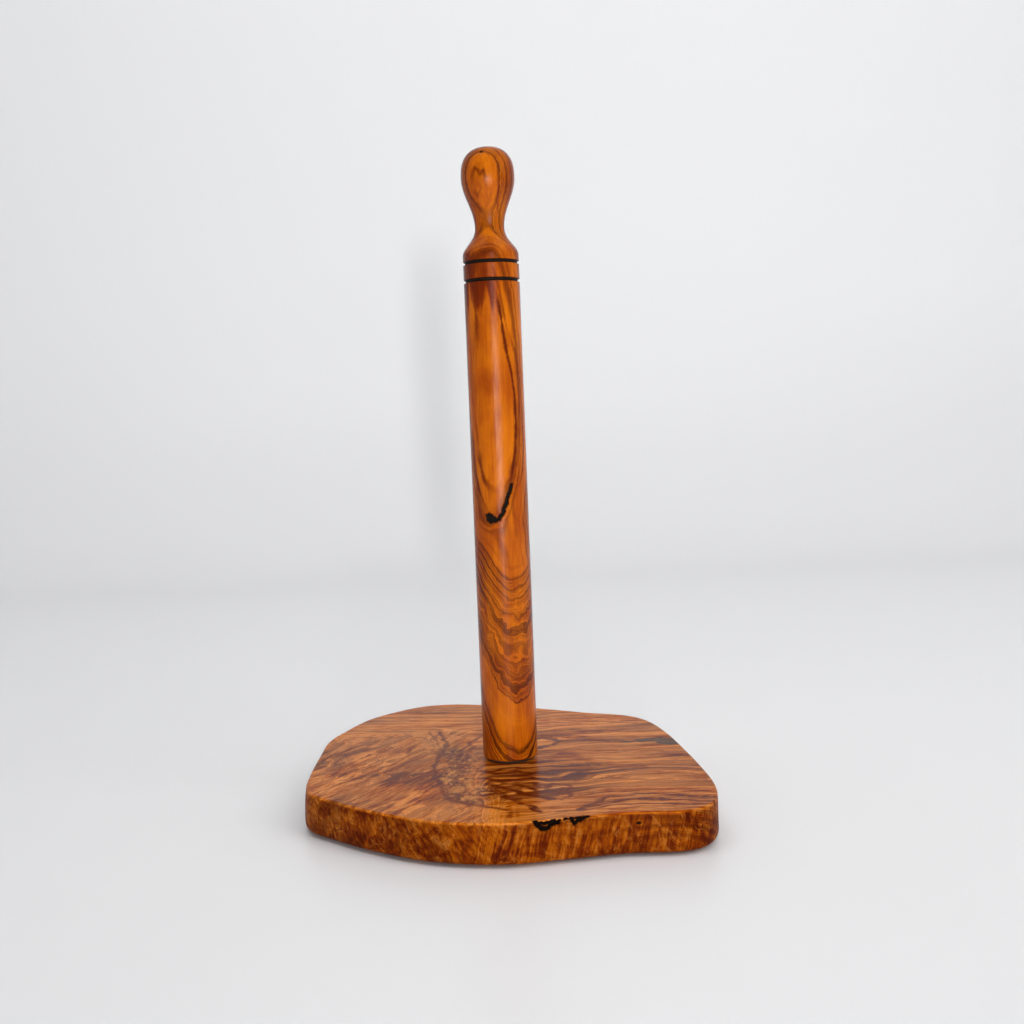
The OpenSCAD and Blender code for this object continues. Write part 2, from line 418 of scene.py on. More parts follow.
def slab_side(rings):
    """The slab's wall in many more levels and columns than the CAD part has, finest at the bark pockets."""
    level_at = np.concatenate([np.linspace(0, 3, 10)[:-1], np.linspace(3, 5.5, 14)[:-1],
                               np.linspace(5.5, 7, 18)[:-1], np.linspace(7, 10, 10)])
    steps = np.arange(0, rings.shape[1], COLUMN_STEP)
    at_steps = spline(rings[3], steps, True)
    near = (np.abs(at_steps[:, 0] - AXIS_X - 21 * MM) < 16 * MM) & (at_steps[:, 1] < AXIS_Y)
    extra = [steps[near] + COLUMN_STEP * part for part in (0.25, 0.5, 0.75)]
    steps = np.sort(np.concatenate([steps, *extra]))
    side = np.stack([spline(ring, steps, True) for ring in rings])
    return spline(side, level_at, False)


def slab_rows(side, mid):
    """The rows of points under the slab's wall, over its top, and down the stepped hole."""
    turn = np.arctan2(side[-1][:, 1] - AXIS_Y, side[-1][:, 0] - AXIS_X)
    spoke = np.stack([np.cos(turn), np.sin(turn), 0 * turn], 1)

    def circle(radius, z):
        return mid + spoke * radius + np.array([0, 0, z])

    hole_r = FLANGE_R + FLANGE_PLAY * MM
    insert_r = INSERT_HOLE_R * MM
    seat_z = SLAB_TOP - FLANGE_T * MM
    centre = circle(HUB_R * MM, SLAB_LOW.z)
    under = [centre * (1 - s) + side[0] * s for s in (0, 0.3, 0.6, 0.85, 0.97)]
    reach = np.linspace(0, 1, TOP_ROWS) ** 1.15
    over = [side[-1] * (1 - s) + circle(hole_r, SLAB_TOP) * s for s in reach[1:]]
    hole = [circle(hole_r, seat_z), circle(insert_r, seat_z),
            circle(insert_r, INSERT_LOW.z - HOLE_FLOOR * MM)]
    return under, over, hole


def slab_pockets(flat, up_wall):
    """Where the bark pockets are, from 0 to 1, and how deep they go, in mm."""
    ragged = noise_at(flat / 1.4, 8) + 0.5 * noise_at(flat / 0.6, 9)
    pocket = np.zeros(len(flat))
    depth = np.zeros(len(flat))
    for path, width, deep in POCKETS:
        off = stroke_distance(np.stack([flat[:, 0], up_wall], 1), path) + 0.4 * ragged
        mark = (1 - smooth(0.7 * width, 1.5 * width, off)) * (flat[:, 1] < FRONT_Y)
        pocket = np.maximum(pocket, mark)
        depth = np.maximum(depth, deep * mark)
    return pocket, depth


def build_slab():
    """The slab: live edge, gently uneven top, bark pockets, and the hole for the insert."""
    side = slab_side(cad_rings())
    mid = np.array([AXIS_X, AXIS_Y, 0.0])
    under, over, hole = slab_rows(side, mid)
    stack = under + list(side) + over + hole
    co = np.concatenate(stack)
    rows = len(stack)
    columns = side.shape[1]
    faces = ring_faces(rows, columns)
    faces.append(list(range(columns))[::-1])
    faces.append(list(range((rows - 1) * columns, rows * columns)))

    flat = (co - mid) / MM
    row = np.repeat(np.arange(rows), columns)
    top_row = len(under) + len(side)
    is_wall = (row >= len(under)) & (row < top_row)
    is_top = (row >= top_row) & (row < rows - len(hole) - 1)
    outward = flat * [1, 1, 0] / np.maximum(np.hypot(flat[:, 0], flat[:, 1]), 1e-6)[:, None]
    edge = np.tile((side[-1][:, :2] - mid[:2]) / MM, (rows, 1))
    inwards = np.linalg.norm(flat[:, :2] - edge, axis=1)
    pocket, depth = slab_pockets(flat, np.where(is_top, SLAB_TOP / MM + inwards, flat[:, 2]))

    wave = 0.5 + 0.5 * noise_at(flat / 22, 1)
    ripple = 0.5 + 0.5 * noise_at(flat * [1, 1, 0.4] / 5, 2)
    worn = is_wall * (0.08 + 0.42 * wave + 0.12 * ripple)
    co -= outward * (worn + depth * (is_wall | is_top) * 0.9)[:, None] * MM
    lift = 0.03 + 0.05 * (0.5 + 0.5 * noise_at(flat * [0.6, 1, 1] / 14, 5))
    co[:, 2] -= is_top * (lift + 0.35 * depth) * MM
    co[:, 2] = np.maximum(co[:, 2], SLAB_LOW.z)

    piece = add_mesh("slab_live_edge", co, faces)
    # How much each point lies on the slab's wall, where the material darkens the colour with painted shade.
    on_side = 1 - smooth(0, 1, (flat[:, 2] - (SLAB_TOP / MM - TOP_EDGE)) / 1.2)
    on_side *= flat[:, 2] > SLAB_LOW.z / MM + 0.05
    add_values(piece, crack=pocket, side=on_side, **slab_figure(flat))
    sharpen_edges(piece, 60)
    return place(piece, "base", "base_slab", "slab_wood")


# ---------------- metal, washer and pads

def helix(angle, height, pitch):
    """How far along a right-hand thread's turn a point is, from 0 to 1."""
    return (height / (pitch * MM) - angle / (2 * math.pi)) % 1.0


def ridge(part, width):
    """The height of a thread's narrow ridge, 1 at its crest."""
    return np.clip(1 - np.abs(2 * part - 1) / width, 0, 1)


def machine_thread(angle, height):
    """How far the M8 thread's surface lies inside its major radius, in metres, at an angle and height."""
    valley = np.abs(2 * helix(angle, height, PITCH) - 1)
    return THREAD_DEPTH * MM * np.clip(1.25 * valley - 0.12, 0, 1)


def build_bolt():
    """The hanger bolt: a tapered wood thread above and an M8 machine thread below."""
    wood = BOLT_R - WOOD_THINNER * MM
    bevel = BOLT_BEVEL * MM
    tip = BOLT_TIP * MM

    def shape(angle, r, h):
        machine = (h < FOOT_Z - BOLT_SHOULDER * MM) & (r > 2 * MM)
        cut = np.where(machine, machine_thread(angle, h), 0)
        in_wood = (h > FOOT_Z + 2 * MM) & (r > 1.5 * MM)
        wood_cut = WOOD_DEPTH * MM * (1 - ridge(helix(angle, h, WOOD_PITCH), 0.4))
        return np.maximum(r - np.where(in_wood, wood_cut, cut), 0.5 * MM), h

    low, high = BOLT_LOW.z, BOLT_HIGH.z
    rows = [(1.5 * MM, low), (BOLT_R - bevel, low)]
    rows += [(BOLT_R - bevel + s * bevel, low + s * bevel) for s in (0.25, 0.5, 0.75)]
    rows += [(BOLT_R, z) for z in np.arange(low + bevel, FOOT_Z, THREAD_ROW * MM)]
    rows += [(BOLT_R, FOOT_Z - 0.02 * MM), (wood, FOOT_Z)]
    rows += [(wood, z) for z in np.arange(FOOT_Z + 0.5 * MM, high - tip, WOOD_ROW * MM)]
    rows += [(wood - (wood * 0.75) * s, high - tip + tip * s) for s in np.linspace(0, 1, 14)]
    piece = lathe("bolt_threaded", [(r - 0.01 * MM, z) for r, z in rows], METAL_SEGMENTS,
                  axis=(AXIS_X, AXIS_Y), shape=shape)
    sharpen_edges(piece, 40)
    return place(piece, "post", "hanger_bolt", "bolt_steel")


def build_insert():
    """The insert nut: flange, coarse outer thread, key socket and an M8 thread inside."""
    bore = BOLT_R + BORE_PLAY * MM
    body = (INSERT_HOLE_R - INSERT_PLAY) * MM
    flange = FLANGE_R - 0.02 * MM
    top, low = INSERT_HIGH.z, INSERT_LOW.z
    socket_z = top - SOCKET_DEPTH * MM
    seat_z = top - FLANGE_T * MM
    edge = INSERT_EDGE * MM

    def shape(angle, r, h):
        inner = r < 4.6 * MM
        hexed = SOCKET_FLAT * MM / np.cos((angle + math.pi / 6) % (math.pi / 3) - math.pi / 6)
        r = np.where(inner & (h > socket_z), hexed + (r - bore), r)
        threaded = inner & (h < socket_z) & (h > low + 0.4 * MM)
        r = np.where(threaded, r - machine_thread(angle, h), r)
        outside = (r > 5.5 * MM) & (r < 6.5 * MM) & (h < top - 2 * MM) & (h > low + MM)
        coarse_cut = COARSE_DEPTH * MM * (1 - ridge(helix(angle, h, COARSE_PITCH), 0.45))
        return np.where(outside, r - coarse_cut, r), h

    rows = [(bore, z) for z in np.arange(top - edge, socket_z, -0.5 * MM)]
    rows += [(bore, socket_z + 0.01 * MM)]
    rows += [(bore, z) for z in np.arange(socket_z - 0.02 * MM, low + edge, -THREAD_ROW * MM)]
    rows += [(bore + edge, low), (body - edge, low)]
    rows += [(body, z) for z in np.arange(low + edge, seat_z, 0.3 * MM)]
    rows += [(body, seat_z), (flange - edge, seat_z), (flange, seat_z + edge)]
    rows += [(flange, top - edge), (flange - edge, top), (bore + 1.4 * MM, top)]
    piece = lathe("insert_nut", rows, METAL_SEGMENTS, axis=(AXIS_X, AXIS_Y), shape=shape, closed=True)
    sharpen_edges(piece, 35)
    return place(piece, "base", "threaded_insert", "insert_zinc")


def rounded_disc(name, node, body, slot, e, flatness, hole=0.0):
    """A washer or pad in the box of its CAD node, with edges rounded by e and a slightly uneven rim."""
    low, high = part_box(node)
    axis = ((low.x + high.x) / 2, (low.y + high.y) / 2)
    radius = (high.x - low.x) / 2 - 0.02 * MM
    corner = np.linspace(0, math.pi / 2, 5)
    if hole:
        start = [(hole, high.z - e), (hole, low.z + e), (hole + e, low.z)]
        end = [(hole + e, high.z)]
    else:
        start = [(radius * s, low.z) for s in (0.05, 0.3, 0.6, 0.85)]
        end = [(radius * s, high.z) for s in (0.85, 0.6, 0.3, 0.05)]
    lower = [(radius - e + e * math.sin(a), low.z + e - e * math.cos(a)) for a in corner]
    upper = [(radius - e + e * math.cos(a), high.z - e + e * math.sin(a)) for a in corner]

    def shape(angle, r, h):
        rim = smooth(0.7, 1.0, r / radius) * flatness
        bumps = 0.5 + 0.5 * np.sin(angle * 7 + 1.3) * np.sin(angle * 17)
        return r - rim * bumps, h

    rows = start + lower + upper + end
    piece = lathe(name, rows, DISC_SEGMENTS, axis=axis, shape=shape, closed=bool(hole))
    sharpen_edges(piece, 50)
    return place(piece, body, node, slot)


def build_washer():
    """The thin washer under the post's foot."""
    return rounded_disc("washer_disc", "foot_washer", "washer", "washer_fibre", WASHER_ROUND * MM,
                        WASHER_RIM * MM, hole=BOLT_R + WASHER_PLAY * MM)


def build_pad(corner):
    """The felt dot under one corner of the slab."""
    return rounded_disc("felt_" + corner, "pad_" + corner, "base", "pad_felt", PAD_ROUND * MM, PAD_RIM * MM)


# ---------------- figure of the wood

# Growth rings of the post: (height in mm, ring number on the front), then how fast it grows to the right
GRAIN_RISE = [(0, 0), (35, 17.5), (66, 36), (100, 57), (115, 62), (123, 64), (160, 71), (190, 73.5),
              (215, 72), (250, 66), (262, 62), (290, 58), (307, 57)]
GRAIN_TILT = [(0, 0.28), (40, 0.5), (100, 0.5), (123, -0.42), (140, -0.25), (307, -0.25)]
# How dark the ring lines are at each ring number
GRAIN_ZONES = [(-28, 0.6), (-12, 0.25), (-1, 0.9), (4.5, 0.95), (5.2, 0.05), (16.4, 0.05), (17, 0.95),
               (24, 0.85), (25, 0.5), (35, 0.5), (37, 0.85), (54, 0.8), (56, 0.1), (61, 0.1), (62, 0.55),
               (65, 0.6), (66, 0.12), (76, 0.12)]
# Degrees from the slab's width to the run of the curls at its left
FEATHER_TURN = 58


def curve(pairs, at):
    """Values of a curve through given (position, value) pairs."""
    return np.interp(at, [a for a, b in pairs], [b for a, b in pairs])


def post_figure(at):
    """The post's figure at points in mm: ring number, how dark the ring lines are, and base tone, which
    carries painted shade on the left flank.
    """
    x, y, h = at.T
    rise = curve(GRAIN_RISE, h) + x * curve(GRAIN_TILT, h) - y - SHAFT_R / MM
    gnarl = smooth(22, 42, h) * (1 - smooth(74, 96, h))
    rise += noise_at(at / [9, 9, 20], 11) + 0.45 * noise_at(at / [4, 4, 9], 12)
    rise += gnarl * (2.6 * noise_at(at / [7, 7, 7], 13) + 1.1 * noise_at(at / 2.6, 14))
    lines = curve(GRAIN_ZONES, rise + 0.8 * noise_at(at / 7, 15))
    lines *= 0.8 + 0.35 * noise_at(at / [8, 8, 24], 16)
    tone = 0.30 + 0.36 * noise_at(at / [9, 9, 34], 17) + 0.2 * noise_at(at / [5, 5, 12], 18)
    side = np.degrees(np.arctan2(x, -y))
    flame = smooth(227, 239, h + 17 * noise_at(at / [2.2, 2.2, 34], 19)) * (1 - smooth(252, 258, h))
    flame *= 1 - 0.55 * smooth(239, 243, h)
    tone += 1.3 * flame * (1 - smooth(-12, 12, side)) * smooth(-110, -80, side)
    # The second term is painted shade: it darkens the tone on the post's left flank.
    tone += 0.1 * flame + 0.12 * (1 - smooth(-60, -20, side))
    return {"rise": rise, "lines": np.clip(lines, 0, 1), "tone": np.clip(tone, -0.3, 1.8)}


# Bands of the slab: (x, y) in mm from the post's axis along each one, half width, and how much darker.
# A band with a number below 0 is paler.
SLAB_BANDS = [
    ([(38, -50), (60, -53), (79, -57), (95, -62)], 6, -1.0),
    ([(-58, 60), (-48, 50), (-40, 32), (-37, 16)], 6, -1.0),
    ([(17, -9), (28, 0), (41, -16), (53, -24), (63, -29)], 6, 0.9),
    ([(18, 6), (40, -2), (62, -6), (84, -12)], 6, 0.55),
    ([(46, 33), (58, 34), (72, 38)], 5, -1.0),
    ([(30, 31), (38, 34), (46, 29)], 4, 0.6),
    ([(8, 23), (22, 25)], 6, -1.0),
    ([(24, 18), (40, 18), (56, 15)], 3, -1.0),
    ([(14, 50), (60, 62), (85, 50)], 5, -0.6),
    ([(10, 40), (34, 42), (70, 47)], 4, 0.6),
    ([(12, 11), (30, 14), (50, 15), (64, 9)], 4, -0.9),
    ([(10, -45), (30, -40), (58, -44)], 6, -0.5),
    ([(25, -66), (50, -66), (88, -71)], 4, 0.6),
    ([(-34, 70), (-10, 78), (30, 80), (70, 74)], 7, 0.35),
    ([(-30, -2), (-22, 12), (-24, 34)], 4, 0.4),
    ([(-60, -20), (-46, -12), (-40, -24), (-38, -50)], 7, 0.6),
    ([(-94, -6), (-70, -26), (-48, -48)], 9, 0.3),
    ([(-80, -60), (-60, -70), (-30, -84)], 9, -0.45),
    ([(-84, 10), (-66, 0), (-50, 12)], 7, -0.35),
]
# Dark lines drawn across the top: path in the same places, half width and darkness
SLAB_LINES = [
    ([(-39, 56), (-34, 34), (-36, 8), (-39, -19), (-33, -53), (-28, -69), (-17, -78), (-2, -87)], 1.1, 0.8),
    ([(-15, 45), (-21, 32), (-26, 12), (-28, -6), (-25, -17), (-15, -19)], 1.2, 0.7),
    ([(-46, 60), (-40, 40), (-38, 24)], 1.0, 0.4),
    ([(-20, 24), (-22, 6), (-18, -8)], 0.9, 0.6),
    ([(8, 31), (19, 33.5), (24, 30.5), (28, 25.4)], 1.6, 1.0),
    ([(8, 13), (17, 16.5), (22, 19), (28, 25.2)], 1.8, 1.0),
    ([(28, 25.6), (37, 26.4), (51, 22.4), (64, 18.6)], 1.6, 0.8),
    ([(10, 47), (36, 49), (58, 44), (76, 44)], 1.2, 0.5),
    ([(12, 66), (40, 68), (72, 58)], 1.2, 0.5),
    ([(14, 7), (34, 9), (56, 3), (88, -4)], 1.0, 0.45),
    ([(30, -46), (48, -45), (66, -49), (92, -53)], 1.0, 0.5),
    ([(33, -84), (45, -73), (58, -70.5), (76, -75), (92, -79)], 1.3, 0.95),
    ([(28, -89), (41, -82.5), (53, -77.5), (71, -80.5), (90, -86)], 1.1, 0.85),
    ([(20, -92), (34, -90), (48, -83.5), (66, -86), (85, -89)], 1.1, 0.8),
    ([(43, -91), (56, -89), (72, -90.5)], 0.8, 0.5),
    ([(-15, -25), (-6, -30), (2, -26), (11, -31), (24, -28), (36, -32)], 1.8, 1.0),
    ([(-14, -36), (-4, -41), (8, -38), (16, -44), (30, -40)], 1.7, 1.0),
    ([(-13, -46), (-6, -51), (1, -60), (8, -67), (18, -74)], 1.8, 1.0),
    ([(-4, -46), (6, -52), (12, -60), (20, -63)], 1.4, 0.9),
    ([(-13, -64), (-6, -61), (-1, -70), (6, -81), (12, -90)], 1.7, 1.0),
    ([(-14, -56), (-8, -57), (-3, -65), (3, -74)], 1.2, 0.8),
    ([(2, -46), (10, -47), (14, -52), (22, -50)], 1.3, 0.8),
    ([(17, -60), (20, -49), (27, -53), (27, -68), (22, -75), (17, -70)], 1.1, 0.7),
    ([(21, -61), (24, -57), (24, -66)], 0.9, 0.5),
]
# Grey streaks of the right edge: path and half width
SMOKE_STREAKS = [([(60, 19), (69, 19.5), (78, 20)], 2.5), ([(70, 20), (80, 21), (96, 17)], 5),
                 ([(80, 15), (96, 11)], 4)]
# The eye that the lines run round, and the middle line of the burl left of the post
EYE_AT = (15, 23.5)
EYE_HALF = (12, 9)
BURL_SPINE = [(-30, 12), (-25, -10), (-29, -32), (-25, -56), (-18, -70), (-14, -56)]
# Pale islands of the burl: (x, y, half width, half depth) in mm
ISLANDS = [(-30, -23, 4, 8), (-31, -38, 3, 7), (-26, -53, 5, 8), (-19, -67, 7, 5), (-14, -58, 3, 8),
           (-20, -45, 3, 7), (-18, -2, 5, 4), (-51, 53, 6, 6), (-44, 42, 4, 8), (-39, 26, 3, 9)]
# Bands of the front and left walls: (mm right of the post's axis, mm up) along each one, and the same
WALL_BANDS = [
    ([(-1.4, 20.3), (-5, 11), (-8.6, 3)], 1.2, 0.9),
    ([(2, 20), (-1, 12), (-4, 4)], 0.8, 0.6),
    ([(-36, 14), (-31, 9), (-27, 12)], 1.6, -0.7),
    ([(-44, 6), (-36, 4), (-30, 6)], 1.4, 0.6),
    ([(-52, 12), (-46, 9), (-41, 13)], 1.4, 0.55),
    ([(76, 18), (82, 10), (86, 3)], 1.5, 0.6),
    ([(66, 18), (71, 10), (75, 4)], 1.2, 0.45),
]


def slab_run(at, straight):
    """Ring numbers of the slab: long lines round the eye where it is straight, and curls elsewhere."""
    x, y, z = at.T
    eye = np.abs(y - EYE_AT[1]) / EYE_HALF[1] + ((x - EYE_AT[0]) / EYE_HALF[0]) ** 2
    run = (y - EYE_AT[1]) * (1 - 0.8 * np.exp(-eye ** 2 * 0.6)) + 1.3 * (z - SLAB_TOP / MM)
    run += 13 * noise_at(at / [70, 40, 30], 22) + 5 * noise_at(at / [34, 18, 14], 23)
    run += 1.8 * noise_at(at / [14, 7, 6], 24)
    turn = math.radians(FEATHER_TURN)
    along = x * math.cos(turn) + y * math.sin(turn)
    across = y * math.cos(turn) - x * math.sin(turn)
    feather = np.stack([along / 30, across / 9, z / 12], 1)
    curl = 0.6 * across + 0.3 * z + 8 * noise_at(feather, 25)
    curl += 4 * noise_at(feather * 2.6, 26) + 2 * noise_at(feather * 6, 27)
    return curl * (1 - straight) + run * straight, feather


def slab_tone(at, straight, marbled, feather, wobble):
    """How dark the wood is at the slab's points, with the bands of its top and walls."""
    x, y, z = at.T
    tone = -0.24 - 0.12 * straight + 0.35 * noise_at(at / [60, 24, 12], 31)
    tone += 0.3 * noise_at(at / [20, 10, 7], 32) - 1.1 * marbled
    tone += 0.5 * (1 - straight) * noise_at(feather * 4, 33)
    tone = 0.3 + (tone - 0.3) * (0.45 + 0.55 * smooth(17, 20, z)) + 0.14 * (1 - smooth(15, 19, z))
    for path, half, darker in SLAB_BANDS:
        off = stroke_distance(at[:, :2], path) + wobble
        tone += darker * (1 - smooth(0.2 * half, 1.3 * half, off)) * smooth(12, 18, z) * 0.8
    front = (y < -80) | (x < -80)
    for path, half, darker in WALL_BANDS:
        off = stroke_distance(np.stack([x, z], 1), path) + 0.3 * wobble
        tone += darker * (1 - smooth(0.3 * half, 1.3 * half, off)) * front
    return np.clip(tone, -0.8, 1.6)


def slab_marks(at, sway):
    """The slab's drawn marks: dark veins, grey smoke and the burl's pale islands."""
    z = at[:, 2]
    top = at[:, :2] + sway
    vein = np.zeros(len(at))
    nudge = 0.4 * noise_at(at / 5, 44)
    for path, half, dark in SLAB_LINES:
        off = stroke_distance(top, path) + nudge
        vein = np.maximum(vein, dark * (1 - smooth(0.2 * half, 1.7 * half, off)) * smooth(14, 19, z))
    smoke = np.zeros(len(at))
    for path, half in SMOKE_STREAKS:
        smoke = np.maximum(smoke, 1 - smooth(0.3 * half, 1.2 * half, stroke_distance(top, path)))
    island = np.full(len(at), -1.0)
    ragged = 0.7 * noise_at(at / [6, 7, 5], 45) + 0.5 * noise_at(at / [2.4, 3.4, 2], 46)
    for left, back, half_w, half_d in ISLANDS:
        off = np.hypot((top[:, 0] - left) / half_w, (top[:, 1] - back) / half_d)
        island = np.maximum(island, 1 - off + ragged)
    return {"vein": vein, "smoke": smoke * smooth(10, 17, z), "island": np.where(z > 16, island, -1.0)}


def slab_figure(at):
    """The slab's figure at points in mm: ring number, line darkness, tone and its marked places."""
    x, y, z = at.T
    broad = noise_at(at / 26, 21)
    straight = np.maximum(smooth(-9, 12, x + 22 + 0.1 * y + 7 * broad), smooth(48, 64, y + 5 * broad))
    rise, feather = slab_run(at, straight)
    marbled = np.exp(-(((x - 22) / 34) ** 2 + ((y + 36) / 26) ** 2))
    rise += marbled * (9 * noise_at(at / [34, 16, 12], 29) + 5 * noise_at(at / [11, 9, 8], 47))
    lines = (0.5 + 0.5 * noise_at(at / [46, 20, 16], 28)) * (1.2 - 0.3 * straight) + 0.6 * marbled
    lines *= 1 - 2.8 * straight * (1 - straight)
    wobble = noise_at(at / [16, 9, 9], 34) * 5 + noise_at(at / 4, 35) * 1.6
    sway = np.stack([noise_at(at / [11, 7, 7], seed) for seed in (40, 41)], 1) * 2.2
    sway += np.stack([noise_at(at / 3.2, seed) for seed in (42, 43)], 1) * 1.1
    spine = stroke_distance(at[:, :2], BURL_SPINE) + 0.8 * wobble
    figure = {"rise": rise, "lines": np.clip(lines, 0, 1), "straight": straight,
              "tone": slab_tone(at, straight, marbled, feather, wobble),
              "burl": (1 - smooth(3, 13, spine)) * smooth(8, 17, z)}
    return {**figure, **slab_marks(at, sway)}


# ---------------- materials

class Graph:
    """Short calls that build the nodes of one material, or of the world."""

    def __init__(self, name, kind=bpy.data.materials):
        self.owner = kind.new(name)
        self.owner.use_nodes = True
        self.tree = self.owner.node_tree
        self.tree.nodes.clear()

    def put(self, socket, value):
        """Links a socket, or sets its own value."""
        if isinstance(value, bpy.types.NodeSocket):
            self.tree.links.new(value, socket)
        elif isinstance(value, tuple) and len(value) == 3 and socket.type == "RGBA":
            socket.default_value = (*value, 1)
        else:
            socket.default_value = value

    def add(self, kind, **inputs):
        """A node of a kind, with its inputs given by name (spaces as underscores)."""
        node = self.tree.nodes.new("ShaderNode" + kind)
        for name, value in inputs.items():
            self.put(node.inputs[name.replace("_", " ")], value)
        return node

    def math(self, operation, a, b=0.0, c=0.0):
        node = self.add("Math")
        node.operation = operation
        for socket, value in zip(node.inputs, (a, b, c)):
            self.put(socket, value)
        return node.outputs[0]

    def times(self, number, *others):
        for other in others:
            number = self.math("MULTIPLY", number, other)
        return number

    def add_scaled(self, number, extra, scale):
        return self.math("MULTIPLY_ADD", extra, scale, number)

    def sway(self, number, wave, scale):
        """A number plus a scale times how far a wave of 0 to 1 lies over its middle."""
        return self.add_scaled(number, self.math("SUBTRACT", wave, 0.5), scale)

    def value(self, name):
        """A number stored at the mesh's points."""
        node = self.add("Attribute")
        node.attribute_name = name
        return node.outputs["Fac"]

    def place(self, scale, turn=0.0, axis="Z_AXIS"):
        """The point in the object's own frame, turned about an axis, times a scale for each axis."""
        node = self.add("VectorMath")
        node.operation = "MULTIPLY"
        spot = self.add("TexCoord").outputs["Object"]
        if turn:
            spin = self.add("VectorRotate", Vector=spot, Angle=turn)
            spin.rotation_type = axis
            spot = spin.outputs[0]
        self.put(node.inputs[0], spot)
        self.put(node.inputs[1], scale)
        return node.outputs[0]

    def blend(self, factor, a, b):
        """A number between a and b."""
        node = self.add("Mix")
        for number, value in zip((0, 2, 3), (factor, a, b)):
            self.put(node.inputs[number], value)
        return node.outputs[0]

    def grain(self, scale, turn=0.0, axis="Z_AXIS", detail=2.0, rough=0.5, twist=0.0):
        """Soft noise of 0 to 1 that has a scale for each axis and is turned by degrees."""
        spot = self.place(scale, math.radians(turn), axis)
        node = self.add("TexNoise", Vector=spot, Scale=1.0, Detail=detail, Roughness=rough, Distortion=twist)
        return node.outputs[0]

    def noise_along(self, number, detail=2.0, rough=0.5):
        """Soft noise of 0 to 1 along a number."""
        node = self.add("TexNoise")
        node.noise_dimensions = "1D"
        for name, value in (("W", number), ("Scale", 1.0), ("Detail", detail), ("Roughness", rough)):
            self.put(node.inputs[name], value)
        return node.outputs[0]

    def ease(self, number, low, high, to_low=0.0, to_high=1.0):
        """Takes low to to_low and high to to_high, smoothly and no further."""
        node = self.add("MapRange")
        node.interpolation_type = "SMOOTHSTEP"
        for name, value in zip(("Value", "From Min", "From Max", "To Min", "To Max"),
                               (number, low, high, to_low, to_high)):
            self.put(node.inputs[name], value)
        return node.outputs[0]

    def mix(self, factor, a, b, blend="MIX"):
        node = self.add("Mix")
        node.data_type = "RGBA"
        node.blend_type = blend
        self.put(node.inputs[0], factor)
        self.put(node.inputs[6], a)
        self.put(node.inputs[7], b)
        return node.outputs[2]

    def bump(self, height, distance):
        return self.add("Bump", Height=height, Distance=distance, Strength=1.0).outputs[0]

    def finish(self, shader="BsdfPrincipled", output="OutputMaterial", **inputs):
        """Closes the nodes with one shader, and hands back the material or world."""
        surface = self.add(shader, **inputs).outputs[0]
        self.put(self.add(output).inputs[0], surface)
        return self.owner


# Linear colours
HONEY = (0.78, 0.260, 0.040)
GOLD = (0.58, 0.145, 0.003)
AMBER = (0.37, 0.068, 0.002)
RUSSET = (0.165, 0.020, 0.001)
UMBER = (0.085, 0.009, 0.001)
INK = (0.040, 0.005, 0.001)
BARK = (0.007, 0.004, 0.003)
PEACH = (0.66, 0.25, 0.045)
PLUM = (0.055, 0.010, 0.006)
SMOKE = (0.045, 0.030, 0.022)
CHAR = (0.010, 0.006, 0.004)
# Painted shade, multiplied onto the slab's sides
SIDE_PAINTED_SHADE = (0.52, 0.48, 0.42)

# Ring lines: (pitch in mm, width, amount, shift, colour), the palest set first
POST_RINGS = [(2.6, 0.24, 0.25, 3.0, RUSSET), (1.7, 0.07, 0.7, 40.0, UMBER), (3.2, 0.07, 1.0, 12.0, INK)]
SLAB_RINGS = [(14.0, 0.20, 0.4, 5.0, RUSSET), (4.5, 0.085, 0.65, 70.0, UMBER),
              (7.5, 0.085, 0.95, 20.0, UMBER)]
# Indexes of refraction, low enough that the wall's reflection doesn't wash out the oiled wood
POST_IOR = 1.26
SLAB_IOR = 1.10
# Depth of the finish's bumps in mm
POST_BUMP = 0.12
SLAB_BUMP = 0.05


def ring_lines(g, rise, pitch, width, shift):
    """Thin dark lines wherever a slow noise along the ring number crosses its middle."""
    wave = g.noise_along(g.math("MULTIPLY_ADD", rise, 1 / pitch, shift), detail=1.5, rough=0.6)
    off = g.math("ABSOLUTE", g.math("SUBTRACT", wave, 0.5))
    return g.ease(off, 0.15 * width, width, 1.0, 0.0)


def wood_base(g, strands, strand_depth, band_pitch, band_depth, rings):
    """Colour of the figured wood, from tone, fibres, broad bands and ring lines, and a fine tremble."""
    tremble = g.grain((420, 420, 420), detail=3)
    rise = g.sway(g.value("rise"), tremble, 1.4)
    tone = g.sway(g.value("tone"), strands, strand_depth)
    tone = g.sway(tone, g.grain((60, 60, 60), detail=3), 0.5)
    tone = g.add_scaled(tone, g.value("side"), 0.2)
    tone = g.sway(tone, g.noise_along(g.times(rise, 1 / band_pitch), detail=2), band_depth)
    colour = g.mix(g.ease(tone, -0.5, 0.0), HONEY, GOLD)
    colour = g.mix(g.ease(tone, 0.0, 0.6), colour, AMBER)
    colour = g.mix(g.ease(tone, 0.5, 1.15), colour, RUSSET)
    colour = g.mix(g.ease(tone, 1.1, 1.9, 0.0, 0.8), colour, UMBER)
    strength = g.value("lines")
    for pitch, width, amount, shift, dark in rings:
        line = ring_lines(g, rise, pitch, width, shift)
        colour = g.mix(g.times(line, strength, amount), colour, dark)
    return colour, tremble


